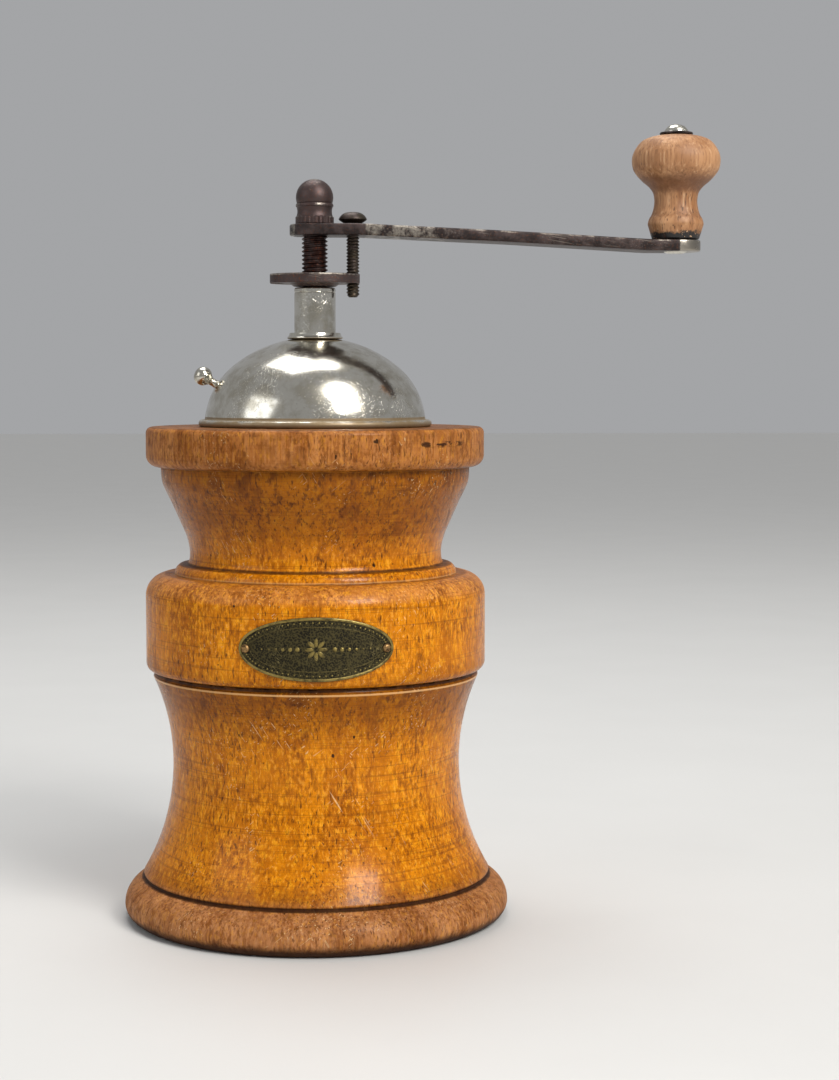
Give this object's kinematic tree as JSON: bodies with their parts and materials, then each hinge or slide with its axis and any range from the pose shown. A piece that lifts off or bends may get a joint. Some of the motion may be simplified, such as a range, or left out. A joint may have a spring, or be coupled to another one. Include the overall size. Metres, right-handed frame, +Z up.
{
  "type": "hand coffee mill",
  "caption": "Turned-wood hand coffee mill with a lift-off grounds cup, a nickelled dome with a turning filling shutter, a conical burr and a side crank.",
  "frame": {"origin": "centre of the cup's flat underside, on the table", "axes": "+Z up along the shaft, +X along the crank arm at rest, -Y towards the name plate"},
  "size_m": [0.1849, 0.1194, 0.245],
  "materials": {
    "varnished_wood": "clear gloss varnish, worn",
    "bare_wood": "bare turned wood, hand-polished",
    "nickel_plate": "nickel plate, lightly scratched and tarnished",
    "bright_nickel": "bright nickel plate",
    "aged_brass": "pressed brass with a dark patina",
    "nail_brass": "worn brass",
    "bush_brass": "turned brass",
    "dark_steel": "brown-black patina with remains of nickel",
    "rusty_steel": "red-brown rust on a cut thread",
    "screw_steel": "olive-grey steel",
    "plain_steel": "plain rolled steel",
    "burr_steel": "forged and hardened steel"
  },
  "bodies": {
    "cup": {"ground_cup": "varnished_wood"},
    "housing": {"upper_housing": "varnished_wood", "name_plate": "aged_brass", "plate_nails": "nail_brass", "dome_cover": "nickel_plate", "dome_collar": "nickel_plate", "bearing_sleeve": "nickel_plate", "bearing_bridge": "plain_steel", "bridge_screws": "plain_steel", "burr_ring": "burr_steel", "ring_screws": "plain_steel", "lower_bridge": "plain_steel", "foot_screws": "plain_steel", "lower_bush": "bush_brass"},
    "crank": {"drive_shaft": "rusty_steel", "cone_burr": "burr_steel", "cone_pin": "plain_steel", "adjusting_plate": "dark_steel", "crank_arm": "dark_steel", "cap_nut": "dark_steel", "knob_pin": "bright_nickel", "knob_washer": "dark_steel"},
    "knob": {"crank_knob": "bare_wood"},
    "shutter": {"shutter_plate": "nickel_plate", "shutter_knob": "bright_nickel"},
    "lock": {"lock_screw": "screw_steel"}
  },
  "joints": [
    {"name": "housing_lift", "type": "slide", "parent": "cup", "child": "housing", "axis": [0, 0, 1], "range_m": [0, 0.06]},
    {"name": "crank_spin", "type": "hinge", "parent": "housing", "child": "crank", "pos_m": [0, 0, 0.2], "axis": [0, 0, 1], "continuous": true},
    {"name": "knob_spin", "type": "hinge", "parent": "crank", "child": "knob", "pos_m": [0.1116, 0, 0.225], "axis": [0, 0, 1], "continuous": true},
    {"name": "lock_screw_lift", "type": "slide", "parent": "crank", "child": "lock", "axis": [0, 0, 1], "range_m": [0, 0.008]},
    {"name": "shutter_turn", "type": "hinge", "parent": "housing", "child": "shutter", "pos_m": [0, 0, 0.17], "axis": [0, 0, -1], "range_deg": [0, 75]}
  ]
}
